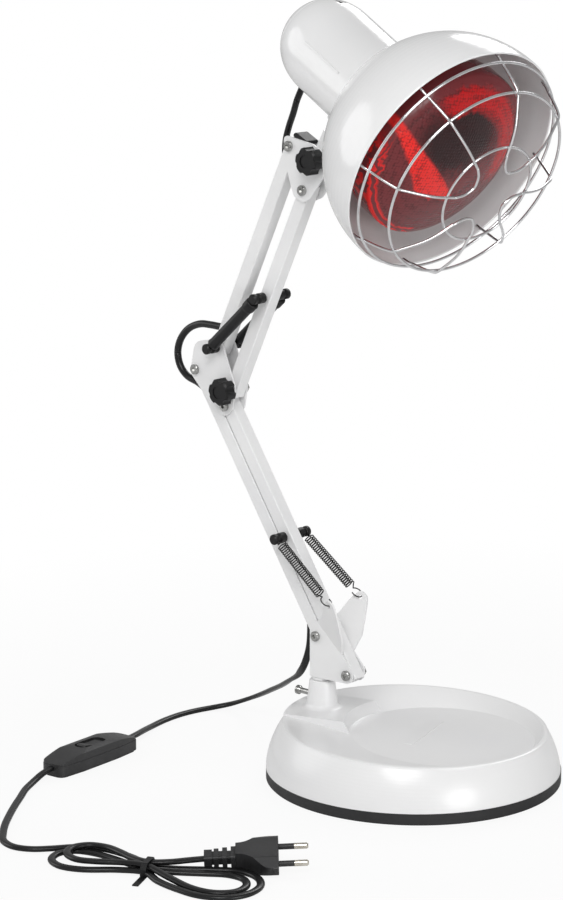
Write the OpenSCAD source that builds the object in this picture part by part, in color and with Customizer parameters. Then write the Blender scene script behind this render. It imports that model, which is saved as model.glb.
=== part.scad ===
// Infrared heat lamp: a reflector bulb in a wire-guarded shade, on a spring-balanced
// swing arm that stands in a weighted round base, with a corded inline switch.
// Origin: middle of the foot, on the table. +Z is up. The arm works in a plane
// parallel to XZ through the post, and +X is the way it carries the head.
// Points written [x, z] lie in that plane, measured from the post's axis.

/* [Base] */
// Diameter of the base at the table
base_d = 204; // [194:1:230]
// Height of the black foot ring
foot_h = 8; // [6:0.5:12]
// Diameter of the upper rim
rim_d = 184; // [176:1:188]
// Height of the rim above the table, at the middle of the base
rim_h = 38; // [34:0.5:46]
// Fall of the rim towards the front, in degrees
rim_fall = 2; // [0:0.5:3]
// Wall of the base cover
cover_wall = 3; // [2:0.5:4]
// Diameter of the flat floor of the dish
dish_d = 126; // [104:1:128]
// Depth of the dish below the rim
dish_depth = 5; // [3:0.5:7]
// How far the dish floor sits forward of the middle
dish_shift = 21; // [10:1:22]
// Width of the raised block behind the dish
block_w = 56; // [44:1:60]
// Height of the block above the rim
block_rise = 1; // [0.5:0.5:4]
// Distance from the post's axis to the middle of the base
post_offset = 69; // [66:1:72]
// Turn of the base under the arm, in degrees
base_turn = 17; // [0:1:60]
// Height of the cast weight in the base
weight_h = 14; // [8:1:16]

/* [Post] */
// Diameter of the post
post_d = 12; // [10:0.5:13]
// Height of the collar above the block
collar_h = 20; // [17:1:26]
// Diameter of the collar at its top
collar_d = 18; // [17:0.5:20]
// Running clearance round a post, bolt or pin
fit = 0.05; // [0.03:0.01:0.08]
// Length of the thumb screw that stands out of the collar
thumb_out = 14; // [9:0.5:16]

/* [Arm] */
// Side of the square arm tubes
tube_w = 10; // [9:0.5:10.5]
// Wall of the arm tubes
tube_wall = 0.8; // [0.6:0.1:1.2]
// Thickness of the bracket and elbow plates
plate_t = 1.4; // [1:0.1:2]
// Gap between a tube and the plate beside it
side_gap = 0.5; // [0.3:0.1:0.8]
// Height of the rear lower pivot above the collar
pivot_rise = 32; // [32:1:40]
// Reach of the front lower pivot from the rear one
pivot_reach = 28; // [27:0.5:32]
// Drop of the front lower pivot from the rear one
pivot_drop = 23; // [21:0.5:24]
// Length of the lower arm between pivots
lower_len = 208; // [190:1:240]
// Lean of the lower arm backwards, in degrees
lower_lean = 33; // [28:0.5:34]
// Length of the upper arm between pivots
upper_len = 161; // [150:1:200]
// Lean of the upper arm forwards, in degrees
upper_lean = 25; // [20:0.5:30]
// Diameter of the pivot bolts
bolt_d = 4; // [3.5:0.5:4]
// Diameter of the pivot bolts' heads
head_d = 7.2; // [6.5:0.1:7.5]
// Diameter of the clamping knobs over their lobes
knob_d = 19; // [17:0.5:20]
// Height of a clamping knob's grip
knob_h = 9; // [7:0.5:12]

/* [Springs] */
// Diameter of a spring's wire
wire_d = 0.8; // [0.6:0.05:0.85]
// Outer diameter of a lower spring
spring_d = 7.4; // [7:0.1:8]
// Number of turns of a lower spring
spring_turns = 32; // [24:1:34]
// Distance of the spring pin from the front lower pivot
spring_pin_at = 106; // [100:1:112]
// Distance of the sleeve pin from the front upper arm's lower pivot
sleeve_pin_at = 76; // [72:1:82]
// Outer diameter of the upper springs' sleeves
sleeve_d = 7.4; // [6.5:0.1:8]

/* [Head] */
// Outer diameter of the shade at its opening
shade_d = 163; // [160:1:172]
// Wall of the shade and of the socket housing
shade_wall = 1.3; // [1:0.1:2]
// Outer diameter of the socket housing
housing_d = 66; // [62:1:68]
// Length of the housing behind the stem, straight part
housing_back = 30; // [26:1:36]
// Length of the housing's domed end
dome_len = 38; // [30:1:42]
// Distance from the stem to the shade's opening, along the head
opening_at = 101; // [96:1:108]
// Distance from the tilt bolt to the head's axis
stem_reach = 65.6; // [62:0.2:72]
// Tilt of the head below the horizontal, in degrees
head_tilt = 29; // [10:1:45]
// Turn of the head on its stem, in degrees
head_turn = 7; // [-20:1:20]

/* [Bulb and guard] */
// Diameter of the reflector bulb
bulb_d = 122; // [110:1:126]
// How far the edge of the bulb's face sits behind the opening
bulb_set = 9; // [6:1:14]
// Diameter of the guard's wires
guard_wire = 1.8; // [1.4:0.1:2.4]
// Height of the guard's middle ring in front of the opening
guard_mid_h = 25; // [18:1:30]
// Height of the guard's small ring in front of the opening
guard_top_h = 37; // [31:1:42]
// Diameter of the guard's middle ring
guard_mid_d = 136; // [126:1:142]
// Diameter of the guard's small ring
guard_top_d = 70; // [60:1:80]

/* [Cord] */
// Width of the flat cord
cord_w = 5.2; // [4.6:0.2:5.4]
// Thickness of the flat cord
cord_t = 3.2; // [2.8:0.1:3.4]
// Length of the inline switch
switch_len = 82; // [74:1:90]
// Width of the inline switch
switch_w = 23; // [20:1:28]
// Height of the inline switch
switch_h = 15; // [13:0.5:20]

/* [Hidden] */

$fn = 64;
eps = 0.01;
seat = 0.3; // what a loose piece leaves to its seat
open_fit = 0.2; // clearance of the linkage's open pivots

white = "white";
black = [0.08, 0.08, 0.08];
steel = "silver";

// ---- Places in the arm's plane ----
post = [-post_offset * cos(base_turn), -post_offset * sin(base_turn)];
block_top = rim_h + rim_d / 2 * sin(rim_fall) + block_rise;
collar_top = block_top + collar_h;
lower_dir = [-sin(lower_lean), cos(lower_lean)];
upper_dir = [sin(upper_lean), cos(upper_lean)];
B1 = [0, collar_top + pivot_rise];
B2 = B1 + [pivot_reach, -pivot_drop];
E1 = B1 + lower_len * lower_dir;
E2 = B2 + lower_len * lower_dir;
E3 = E2 + [4.5, 12];
E4 = E3 + [-12.3, 29];
H1 = E4 + upper_len * upper_dir;
H2 = E3 + upper_len * upper_dir;
H3 = H2 + [12.7, 21.3];
spring_pin_xz = B2 + spring_pin_at * lower_dir;
sleeve_pin_xz = E3 + sleeve_pin_at * upper_dir;

plate_in = tube_w / 2 + side_gap;
plate_out = plate_in + plate_t;
bore = bolt_d + 2 * fit;
end_over = 4; // how far a tube runs past its pivot
nut_h = 3.2;
nut_d = 7.6;
bolt_head_h = 2.3;

// ---- Small helpers ----
function unit(v) = v / norm(v);

// A closed outline whose corners are rounded: pts are corners, radii one for each.
function corner(a, b, c, r, steps = 5) =
  let (u = unit(a - b), w = unit(c - b), half = acos(u * w) / 2)
  let (mid = b + unit(u + w) * r / sin(half))
  let (from = b + u * r / tan(half) - mid, to = b + w * r / tan(half) - mid)
  let (a0 = atan2(from.y, from.x), turn = atan2(from.x * to.y - from.y * to.x, from * to))
  [for (i = [0:steps]) mid + r * [cos(a0 + turn * i / steps), sin(a0 + turn * i / steps)]];
function rounded(pts, radii) =
  [for (i = [0:len(pts) - 1], p = corner(pts[(i + len(pts) - 1) % len(pts)], pts[i],
    pts[(i + 1) % len(pts)], radii[i])) p];
function even(n, r) = [for (i = [1:n]) r];

// Puts children into the arm's plane, at the post.
module at_post() {
  translate([post.x, post.y, 0])
    children();
}

// Extrudes an [x, z] outline from y0 to y1.
module slab(y0, y1) {
  translate([0, y1, 0])
    rotate([90, 0, 0])
      linear_extrude(y1 - y0)
        children();
}

// A cylinder along Y at an [x, z] point, from y0 to y1.
module rod(p, d, y0, y1) {
  translate([p.x, y0, p.y])
    rotate([-90, 0, 0])
      cylinder(d = d, h = y1 - y0);
}

// Children stand on an [x, z] point and lean towards +X by the angle.
module leaning(p, lean) {
  translate([p.x, 0, p.y])
    rotate([0, lean, 0])
      children();
}

module mirror_y() {
  mirror([0, 1, 0])
    children();
}

// ---- Base ----
rim_r = rim_d / 2;
base_r = base_d / 2;
wall_rise = rim_h - foot_h;
edge_r = 1.5; // rounding of the rim
bulge = 1.8; // how far the outer wall swells past its chord

// Points of the outer wall from the foot to the rim, as one shallow arc.
function wall_arc(r0, z0, r1, z1, sag, steps = 12) =
  let (chord = norm([r1 - r0, z1 - z0]), r = (chord * chord / 4 + sag * sag) / (2 * sag))
  let (half = asin(chord / 2 / r), dir = unit([r1 - r0, z1 - z0]), out = [dir.y, -dir.x])
  let (mid = ([r0, z0] + [r1, z1]) / 2 - out * (r - sag))
  [for (i = [0:steps]) let (a = -half + 2 * half * i / steps)
    mid + r * (cos(a) * out + sin(a) * dir)];

// The cover and all that is cut in it lean with the rim, about the foot's middle.
module in_rim() {
  rotate([0, 0, base_turn])
    translate([0, 0, foot_h])
      rotate([0, rim_fall, 0])
        children();
}

// A lower skirt below the foot's top is cut off level, so that the leaning wall meets the ring.
skirt = 6;

module cover_form(inset = 0) {
  low = base_r - inset;
  top = wall_rise - inset;
  rotate_extrude($fn = 128)
    polygon(concat([[0, -skirt], [low, -skirt]],
      wall_arc(low, 0, rim_r - inset, top - edge_r, bulge),
      [[rim_r - inset - edge_r * 0.3, top - edge_r * 0.25], [rim_r - inset - edge_r, top], [0, top]]));
}

module dish_cut() {
  hull() {
    translate([dish_shift, 0, wall_rise - dish_depth])
      cylinder(d = dish_d, h = eps, $fn = 96);
    translate([0, 0, wall_rise])
      cylinder(r = rim_r - 2.2 * edge_r, h = 0.4, $fn = 96);
  }
  translate([0, 0, wall_rise + 0.3])
    cylinder(r = rim_r + 5, h = 20);
}

// The raised block runs from the rim to the dish's floor, and ends in a hollow slope round it.
module block_form() {
  intersection() {
    difference() {
      translate([-rim_r - 10, -block_w / 2, rim_h - 14])
        cube([rim_r + dish_shift, block_w, block_top - rim_h + 14]);
      translate([dish_shift, 0, rim_h - dish_depth])
        cylinder(d1 = dish_d, d2 = dish_d + 9, h = block_top - rim_h + dish_depth + eps);
    }
    cylinder(r = rim_r - edge_r, h = 200);
  }
}

module collar_form() {
  foot_fillet = 4;
  low_r = collar_d / 2 + 1.8;
  translate([-post_offset, 0, 0])
    rotate_extrude()
      polygon(concat([[0, foot_h + 10], [low_r + foot_fillet, foot_h + 10], [low_r + foot_fillet, block_top]],
        [for (i = [1:6]) [low_r + foot_fillet - foot_fillet * sin(i * 15),
          block_top + foot_fillet - foot_fillet * cos(i * 15)]],
        [[collar_d / 2, collar_top - 0.8], [collar_d / 2 - 0.8, collar_top], [0, collar_top]]));
}

weight_r = base_r - 14;
plate_h = 3.5; // lies flush with the foot ring
weight_z = plate_h;
recess_h = 2.6; // how deep the screws' heads are sunk
post_low = weight_z + 3;
thumb_z = collar_top - 12.5;
screw_ring_r = 60;

module base_cover() {
  color(white)
    difference() {
      union() {
        intersection() {
          difference() {
            in_rim()
              cover_form();
            in_rim()
              dish_cut();
          }
          translate([0, 0, foot_h])
            cylinder(r = base_d, h = 200);
        }
        rotate([0, 0, base_turn]) {
          block_form();
          collar_form();
        }
      }
      // hollow under the cover, closed above the weight
      translate([0, 0, foot_h - eps])
        cylinder(r = base_r - cover_wall - 4, h = weight_z + weight_h - foot_h + seat);
      rotate([0, 0, base_turn])
        translate([-post_offset, 0, foot_h - eps])
          cylinder(d = post_d + 2 * fit, h = 100);
      // thumb screw's tapped hole, from the collar's back
      at_post()
        translate([-collar_d, 0, thumb_z])
          rotate([0, 90, 0])
            cylinder(d = bolt_d + 2 * fit, h = collar_d);
    }
}

module base_weight() {
  color([0.25, 0.25, 0.27])
    difference() {
      translate([0, 0, weight_z])
        cylinder(r = weight_r, h = weight_h);
      rotate([0, 0, base_turn])
        translate([-post_offset, 0, post_low])
          cylinder(d = post_d + 2 * fit, h = weight_h);
      for (i = [0:3])
        rotate(base_turn + 45 + 90 * i)
          translate([screw_ring_r, 0, weight_z - eps])
            cylinder(d = 3.5, h = 10);
    }
}

module base_plate() {
  color(black)
    difference() {
      cylinder(r = base_r - 8.3, h = plate_h);
      for (i = [0:3])
        rotate(base_turn + 45 + 90 * i)
          translate([screw_ring_r, 0, -1]) {
            cylinder(d = 4, h = 10);
            cylinder(d = 8, h = 1 + recess_h);
          }
    }
}

module foot_ring() {
  chamfer = 0.8;
  color(black)
    rotate_extrude($fn = 128)
      polygon([[base_r - 8, 0], [base_r - chamfer, 0], [base_r, chamfer], [base_r, foot_h],
        [base_r - 8, foot_h]]);
}

module base_screws() {
  color(steel)
    for (i = [0:3])
      rotate(base_turn + 45 + 90 * i)
        translate([screw_ring_r, 0, 0]) {
          translate([0, 0, recess_h - 1.8])
            cylinder(d = 7, h = 1.8);
          translate([0, 0, recess_h - eps])
            cylinder(d = 3.4, h = 10);
        }
}

module thumb_screw() {
  head_t = 2;
  from = collar_d / 2 + thumb_out;
  color(steel)
    at_post()
      translate([0, 0, thumb_z])
        rotate([0, -90, 0]) {
          translate([0, 0, post_d / 2 + fit + 0.05])
            cylinder(d = bolt_d, h = from - post_d / 2 - head_t);
          translate([0, 0, from - head_t - 1.4])
            cylinder(d1 = bolt_d, d2 = bolt_d + 1.6, h = 1.4);
          translate([0, 0, from - head_t])
            cylinder(d = 6.4, h = head_t);
        }
}

// ---- Lower bracket ----
bracket_low = collar_top + 2; // underside of the two side plates
flare = 22; // how far the ears lean out, in degrees
bend_a = B1 + [1, 11];
bend_b = B1 + [23.5, -9];
bend_dir = unit(bend_b - bend_a);
ear_out = 27.3; // from the bend to the spring's eye, along the ear
eye_along = 4; // from the bend's upper end to the eye, along the bend
ear_n = [-bend_dir.y, bend_dir.x];
eye_flat = bend_a + eye_along * bend_dir + ear_out * ear_n;
bend_len = norm(bend_b - bend_a);
// Corners of the ear: how far along the bend from its upper end, and how far out from it.
ear_line = [[bend_len, 0], [bend_len - 4.6, 12], [12, ear_out + 0.2], [eye_along + 3.4, ear_out + 4.4],
  [eye_along - 3.6, ear_out + 4], [-0.3, ear_out - 6], [2, 8], [0, 0]];
ear_up = ear_out * sin(flare);
eye = bend_a + eye_along * bend_dir + ear_out * cos(flare) * ear_n;
eye_y = plate_out - plate_t / 2 + ear_up;
spool_in = plate_out + 0.3;
spool_out = spool_in + 11.5;
waist_y = spool_in + 6.8;

module bracket_post() {
  blade_top = B1.y - 8;
  color(white)
    at_post() {
      translate([0, 0, post_low + seat])
        cylinder(d = post_d, h = bracket_low - post_low - seat + 1);
      translate([-5, -plate_in, bracket_low - 1])
        cube([11, 2 * plate_in, blade_top - bracket_low + 1]);
      translate([0, 0, collar_top + seat])
        cylinder(d = collar_d - 4, h = bracket_low - collar_top - seat);
    }
}

module bracket_plate_flat() {
  slab(-plate_out, -plate_in)
    polygon(rounded([[-5.6, bracket_low], B2 + [-5, -6], B2 + [4.4, -6], B2 + [5.2, 3.6], bend_b, bend_a,
      B1 + [-5.6, 7]], [1.5, 5, 5, 4, 1, 1, 4]));
}

// The ear is the sheet beyond the bend, leaning outwards and ending round the spring's eye.
module bracket_ear() {
  translate([bend_a.x, -plate_in, bend_a.y])
    rotate(a = flare, v = [bend_dir.x, 0, bend_dir.y])
      translate([-bend_a.x, 0, -bend_a.y])
        difference() {
          slab(-plate_t, 0)
            polygon(rounded([for (q = ear_line) bend_a + q[0] * bend_dir + q[1] * ear_n],
              [0.5, 8, 8, 4, 3.5, 10, 3, 0.5]));
          rod(eye_flat, 3.2, -plate_t - 1, 1);
        }
}

module bracket_plate() {
  difference() {
    union() {
      bracket_plate_flat();
      bracket_ear();
    }
    rod(B1, bore, -20, 0);
    rod(B2, bore, -20, 0);
  }
}

module bracket_plate_near() {
  color(white)
    at_post()
      bracket_plate();
}

module bracket_plate_far() {
  color(white)
    at_post()
      mirror_y()
        bracket_plate();
}

// A pivot bolt through both plates: a round socket head near, a nut far.
module pivot_bolt(p, near = plate_out, far = plate_out) {
  rod(p, bolt_d, -near - eps, far + nut_h + 0.6);
  difference() {
    translate([p.x, -near - bolt_head_h, p.y])
      rotate([-90, 0, 0]) {
        cylinder(d1 = head_d - 1, d2 = head_d, h = 0.6);
        translate([0, 0, 0.6])
          cylinder(d = head_d, h = bolt_head_h - 0.6);
      }
    translate([p.x, -near - bolt_head_h - 1, p.y])
      rotate([-90, 0, 0])
        cylinder(d = 3, h = 2.2, $fn = 6);
  }
}

module pivot_nut(p, far = plate_out) {
  difference() {
    translate([p.x, far, p.y])
      rotate([-90, 0, 0])
        cylinder(d = nut_d, h = nut_h, $fn = 6);
    rod(p, bore, far - 1, far + nut_h + 1);
  }
}

module bolts(points) {
  color(steel)
    at_post()
      for (p = points) {
        pivot_bolt(p);
        pivot_nut(p);
      }
}

module bracket_bolts() {
  bolts([B1, B2]);
}

// ---- Square tubes ----
// Stands on +Z from its lower pivot, with bores where the bolts pass, and slots for the cord
// in its back wall: each slot is [from, to] along the tube.
module arm_tube(length, low_bore, top_bore, pins = [], slots = [], low_over = end_over) {
  w = tube_w;
  r = 0.8;
  outer = rounded([[-w / 2, -w / 2], [w / 2, -w / 2], [w / 2, w / 2], [-w / 2, w / 2]], even(4, r));
  inside = w - 2 * tube_wall;
  difference() {
    translate([0, 0, -low_over])
      linear_extrude(length + low_over + end_over)
        polygon(outer);
    translate([-inside / 2, -inside / 2, -low_over - 1])
      cube([inside, inside, length + 2 * low_over + 4]);
    rod([0, 0], low_bore, -w, w);
    rod([0, length], top_bore, -w, w);
    for (p = pins)
      rod([0, p], 3 + 2 * fit, -w, w);
    for (s = slots)
      translate([-w, -cord_w / 2 - 0.3, s[0]])
        cube([w, cord_w + 0.6, s[1] - s[0]]);
  }
}

cord_in = 28.4; // how far in from a pivot the straight run of cord starts
slot_low = [6, 22];
slot_top = [8, 22]; // measured down from the upper pivot
module lower_rear_tube() {
  color(white)
    at_post()
      leaning(B1, -lower_lean)
        arm_tube(lower_len, bore, bore, slots = [slot_low, [lower_len - slot_top[1], lower_len - slot_top[0]]]);
}

module lower_front_tube() {
  color(white)
    at_post()
      leaning(B2, -lower_lean)
        arm_tube(lower_len, bore, bolt_d + 2 * open_fit, pins = [spring_pin_at], low_over = 5);
}

module upper_rear_tube() {
  color(white)
    at_post()
      leaning(E4, upper_lean)
        arm_tube(upper_len, bore, bore, slots = [slot_top, [upper_len - 20, upper_len - slot_low[0]]]);
}

module upper_front_tube() {
  color(white)
    at_post()
      leaning(E3, upper_lean)
        arm_tube(upper_len, bore, bolt_d + 2 * open_fit, pins = [sleeve_pin_at]);
}

// The cord's run inside a tube, from slot to slot.
module cord_in_tube(from, to) {
  inside = tube_w - 2 * tube_wall;
  translate([0, 0, from])
    linear_extrude(to - from)
      polygon(rounded([[-cord_t / 2, -cord_w / 2], [cord_t / 2, -cord_w / 2], [cord_t / 2, cord_w / 2],
        [-cord_t / 2, cord_w / 2]], even(4, cord_t / 2 - 0.05)));
}

module cord_in_lower_arm() {
  color(black)
    at_post()
      leaning(B1, -lower_lean)
        cord_in_tube(cord_in, lower_len - cord_in - 1);
}

module cord_in_upper_arm() {
  color(black)
    at_post()
      leaning(E4, upper_lean)
        cord_in_tube(cord_in + 2, upper_len - cord_in + 2.7);
}

// ---- Cross pins and their spools ----
// A spool has two round lobes with a waist between them, where the spring's end loops on.
module spool(p) {
  lobe = 7.4;
  waist = 4.8;
  turn_r = 1.6;
  difference() {
    translate([p.x, -spool_out, p.y])
      rotate([-90, 0, 0])
        rotate_extrude()
          polygon([[0, 0], [lobe / 2 - 1, 0], [lobe / 2, 1], [lobe / 2, 3.2], [waist / 2, 4],
            [waist / 2, 5.5], [lobe / 2, 6.4], [lobe / 2, spool_out - spool_in], [0, spool_out - spool_in]]);
    rod(p, 3, -spool_out + 2, 0);
  }
}

module spools(p) {
  color(black)
    at_post() {
      spool(p);
      mirror_y()
        spool(p);
    }
}

module cross_pin(p) {
  color(steel)
    at_post()
      rod(p, 3, -spool_out + 2, spool_out - 2);
}

module spring_pin() {
  cross_pin(spring_pin_xz);
}

module spring_spools() {
  spools(spring_pin_xz);
}

module elbow_pin() {
  color(steel)
    at_post()
      rod(E4, 3, -spool_out + 2, spool_out - 2);
}

module elbow_spools() {
  spools(E4);
}

module sleeve_pin() {
  cross_pin(sleeve_pin_xz);
}

module sleeve_spools() {
  spools(sleeve_pin_xz);
}

// ---- Elbow ----
module elbow_plate() {
  difference() {
    slab(-plate_out, -plate_in)
      polygon(rounded([E1 + [-4.5, 1], E1 + [-0.5, 20], E4 + [-5, 5], E4 + [5.5, 3], E3 + [5.5, 2], E2 + [7, -2],
        E2 + [1, -7], E2 + [-9, -5], E1 + [-4, -4]], [3, 9, 4, 3, 8, 3, 4, 4, 3]));
    for (p = [E1, E2, E3])
      rod(p, bore, -20, 0);
    rod(E4, 3 + 2 * fit, -20, 0);
  }
}

module elbow_plate_near() {
  color(white)
    at_post()
      elbow_plate();
}

module elbow_plate_far() {
  color(white)
    at_post()
      mirror_y()
        elbow_plate();
}

module elbow_bolts() {
  bolts([E1, E2]);
}

// A clamping bolt: its head is on the far side, and its knob runs on the near end.
hub_h = 3;
module knob_bolt(p) {
  color(steel)
    at_post() {
      rod(p, bolt_d, -plate_out - hub_h - knob_h + 3, plate_out + eps);
      translate([p.x, plate_out, p.y])
        rotate([-90, 0, 0])
          cylinder(d = nut_d, h = nut_h, $fn = 6);
    }
}

// A knob with six lobes on a round hub, and a shallow round recess in its face.
module knob(p) {
  r = knob_d / 2;
  color(black)
    at_post()
      translate([p.x, -plate_out - seat, p.y])
        rotate([90, 0, 0])
          difference() {
            union() {
              cylinder(d = 10, h = hub_h + 1);
              translate([0, 0, hub_h])
                difference() {
                  union() {
                    cylinder(r = r, h = knob_h - 1.2);
                    translate([0, 0, knob_h - 1.2])
                      cylinder(r1 = r, r2 = r - 1.2, h = 1.2);
                  }
                  for (i = [0:5])
                    rotate(i * 60 + 15)
                      translate([r + 1.6, 0, -1])
                        cylinder(r = 3.4, h = knob_h + 2);
                }
            }
            translate([0, 0, -1])
              cylinder(d = bore, h = hub_h + knob_h - 2);
            translate([0, 0, hub_h + knob_h - 0.6])
              cylinder(d = 9, h = 2);
          }
}

module elbow_knob_bolt() {
  knob_bolt(E3);
}

module elbow_knob() {
  knob(E3);
}

// ---- Springs ----
// Sweeps an n-sided ring along points, as one closed tube. Width lies across, thickness up.
function frame_at(pts, i) =
  let (a = pts[max(i - 1, 0)], b = pts[min(i + 1, len(pts) - 1)])
  unit(b - a);
function across(dir, up) = unit(cross(dir, up));
module sweep(pts, ups, w, t, sides) {
  n = len(pts);
  rings = [for (i = [0:n - 1])
    let (dir = frame_at(pts, i), side = across(dir, ups[i]), top = cross(side, dir))
    for (k = [0:sides - 1])
      let (a = sides == 6 ? 60 * k : 360 * (k + 0.5) / sides)
      let (kw = sides == 6 ? 1 : cos(180 / sides), kt = sides == 6 ? sin(60) : cos(180 / sides))
      pts[i] + side * (w / 2 / kw * cos(a)) + top * (t / 2 / kt * sin(a))];
  polyhedron(rings, concat(
    [[for (k = [0:sides - 1]) k]],
    [for (i = [0:n - 2], k = [0:sides - 1], half = [0, 1])
      let (a = i * sides + k, b = i * sides + (k + 1) % sides)
      half == 0 ? [a, a + sides, b] : [b, a + sides, b + sides]],
    [[for (k = [sides - 1:-1:0]) (n - 1) * sides + k]]));
}

// The coil's middle line in its own frame, +Z from the pin to the eye: a short leg from the
// spool's waist, the turns, and a leg that ends in a hook through the eye.
coil_r = (spring_d - wire_d) / 2;
rings_per_turn = 8;
leg = 2.2;
hook_r = 4.2;
function spring_line(length) =
  let (start = waist_r + leg, stop = length - 2 * hook_r - leg + 0.6, run = stop - start)
  let (turns = spring_turns * rings_per_turn)
  concat(
    [[0, 0, waist_r + wire_d * 0.6], [0, 0, waist_r + wire_d * 1.6]],
    [for (i = [0:turns]) let (a = 360 * i / rings_per_turn + 180)
      [coil_r + coil_r * cos(a), coil_r * sin(a), start + run * i / turns] - [coil_r * min(1, i / 8), 0, 0]],
    [for (i = [0:13]) let (a = 180 - 24 * i)
      [0, hook_r * sin(a), length - hook_r + hook_r * cos(a)]]);
waist_r = 4.8 / 2;

// The least gap between stretches of the wire that lie at least half a turn apart along it.
function self_gap(p, w) =
  min([for (i = [0:len(p) - 6]) min([for (j = [i + 5:len(p) - 1]) norm(p[j] - p[i])])]) - w;

// The lower springs run from the pin's spool down and out to the ear.
spring_from = [spring_pin_xz.x, -waist_y, spring_pin_xz.y];
spring_to = [eye.x, -eye_y, eye.y];
spring_axis = spring_to - spring_from;
spring_len = norm(spring_axis);
spring_tilt = acos(spring_axis.z / spring_len);
spring_swing = atan2(spring_axis.y, spring_axis.x);
spring_points = spring_line(spring_len);
module spring() {
  echo(least_gap_in_spring = self_gap(spring_points, wire_d));
  translate(spring_from)
    rotate([0, spring_tilt, spring_swing])
      sweep(spring_points, [for (p = spring_points) [0, 1, 0.1]], wire_d, wire_d, 6);
}

module spring_near() {
  color(black)
    at_post()
      spring();
}

module spring_far() {
  color(black)
    at_post()
      mirror_y()
        spring();
}

// The upper springs work inside black sleeves with a wider collar at the upper end.
sleeve_axis = sleeve_pin_xz - E4;
sleeve_len = norm(sleeve_axis);
sleeve_lean = atan2(sleeve_axis.x, sleeve_axis.y);
module spring_sleeve() {
  from = 3.8;
  to = sleeve_len - 3.8;
  translate([E4.x, -waist_y, E4.y])
    rotate([0, sleeve_lean, 0]) {
      translate([0, 0, from])
        cylinder(d = sleeve_d, h = to - from);
      translate([0, 0, from])
        cylinder(d = sleeve_d + 0.8, h = 3);
      translate([0, 0, to - 7])
        cylinder(d = sleeve_d + 1.4, h = 7);
    }
}

module spring_sleeve_near() {
  color(black)
    at_post()
      spring_sleeve();
}

module spring_sleeve_far() {
  color(black)
    at_post()
      mirror_y()
        spring_sleeve();
}

// ---- Head bracket ----
module head_plate() {
  difference() {
    slab(-plate_out, -plate_in)
      polygon(rounded([H1 + [-4.5, 7.5], H3 + [-3.5, 10.5], H3 + [8, 4], H3 + [6.5, -10], H2 + [6.5, -5.5],
        H2 + [-0.5, -8.5], H2 + [-8, -4.5], H1 + [-0.5, -20], H1 + [-4.5, -5]], [3, 3, 6, 5, 5, 4, 4, 8, 6]));
    for (p = [H1, H2, H3])
      rod(p, bore, -20, 0);
  }
}

module head_plate_near() {
  color(white)
    at_post()
      head_plate();
}

module head_plate_far() {
  color(white)
    at_post()
      mirror_y()
        head_plate();
}

module head_bolts() {
  bolts([H1, H2]);
}

// The black block fills the top of the gap between the plates and guides the cord past.
module head_block() {
  color(black)
    at_post()
      slab(-plate_in, plate_in)
        polygon(rounded([H1 + [7.4, 2.6], H1 + [14, 1.5], H1 + [16.5, 3.5], H1 + [5, 9.8], H1 + [2.2, 7.6]],
          [1, 1, 1.5, 2.5, 1.5]));
}

module head_knob_bolt() {
  knob_bolt(H3);
}

module head_knob() {
  knob(H3);
}

// ---- Head ----
// The head's own frame: origin where the stem meets the head's axis, +Z to the opening,
// and +X back down the stem.
head_at = H3 + stem_reach * [sin(head_tilt), cos(head_tilt)];
module in_head(turned = 1) {
  at_post()
    translate([head_at.x, 0, head_at.y])
      rotate([0, 90 + head_tilt, 0])
        rotate([turned * head_turn, 0, 0])
          children();
}

housing_r = housing_d / 2;
shade_r = shade_d / 2;
skirt_len = 3; // straight edge of the shade before its bowl
bowl_z = opening_at - skirt_len;
neck_z = bowl_z - sqrt(shade_r * shade_r - housing_r * housing_r);
stem_d = 12;
spigot_d = 8;
pad_r = 9;
pad_out = housing_r + 2.5;
tongue_t = 2 * plate_in - 0.6;
cap_z = -housing_back - dome_len * 0.62; // where the end cap meets the dome

// Flat tongue between the plates, round stem, and the spigot that turns in the housing's pad.
module head_stem() {
  tongue_r = 8;
  color(white)
    in_head(0)
      difference() {
        union() {
          translate([stem_reach, tongue_t / 2, 0])
            rotate([90, 0, 0])
              cylinder(r = tongue_r, h = tongue_t);
          translate([pad_out + 10, -tongue_t / 2, -stem_d / 2])
            cube([stem_reach - pad_out - 10, tongue_t, stem_d]);
          translate([pad_out + 0.1, 0, 0])
            rotate([0, 90, 0])
              cylinder(d = stem_d, h = 12);
          translate([housing_r - 12, 0, 0])
            rotate([0, 90, 0])
              cylinder(d = spigot_d, h = 16);
        }
        translate([stem_reach, 20, 0])
          rotate([90, 0, 0])
            cylinder(d = bore, h = 40);
      }
}

module stem_nut() {
  color(steel)
    in_head(0)
      translate([housing_r - 8, 0, 0])
        rotate([0, 90, 0])
          difference() {
            cylinder(d = 14, h = 3, $fn = 6);
            translate([0, 0, -1])
              cylinder(d = spigot_d, h = 5);
          }
}

// Outline of the bowl from the opening back to the neck, for a given inset.
function bowl_arc(r, end_r, steps = 22) =
  let (a1 = asin(end_r / r))
  [for (i = [0:steps]) let (a = 90 - (90 - a1) * i / steps) [r * sin(a), bowl_z - r * cos(a)]];

neck_wall = 1.6;
neck_low = bowl_z - sqrt(shade_r * shade_r - pow(housing_r - neck_wall, 2));
neck_len = 14;
module shade() {
  outer = bowl_arc(shade_r, housing_r - neck_wall);
  inner = bowl_arc(shade_r - shade_wall, housing_r - 2 * neck_wall);
  low = outer[len(outer) - 1].y;
  color(white)
    in_head()
      rotate_extrude($fn = 128)
        polygon(concat([[shade_r, opening_at - 0.6], [shade_r, bowl_z]], outer,
          [[housing_r - neck_wall, low - neck_len], [housing_r - 2 * neck_wall, low - neck_len]],
          [for (i = [len(inner) - 1:-1:0]) inner[i]],
          [[shade_r - shade_wall, opening_at - 0.6], [shade_r - shade_wall + 0.3, opening_at],
            [shade_r - 0.3, opening_at]]));
}

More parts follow.
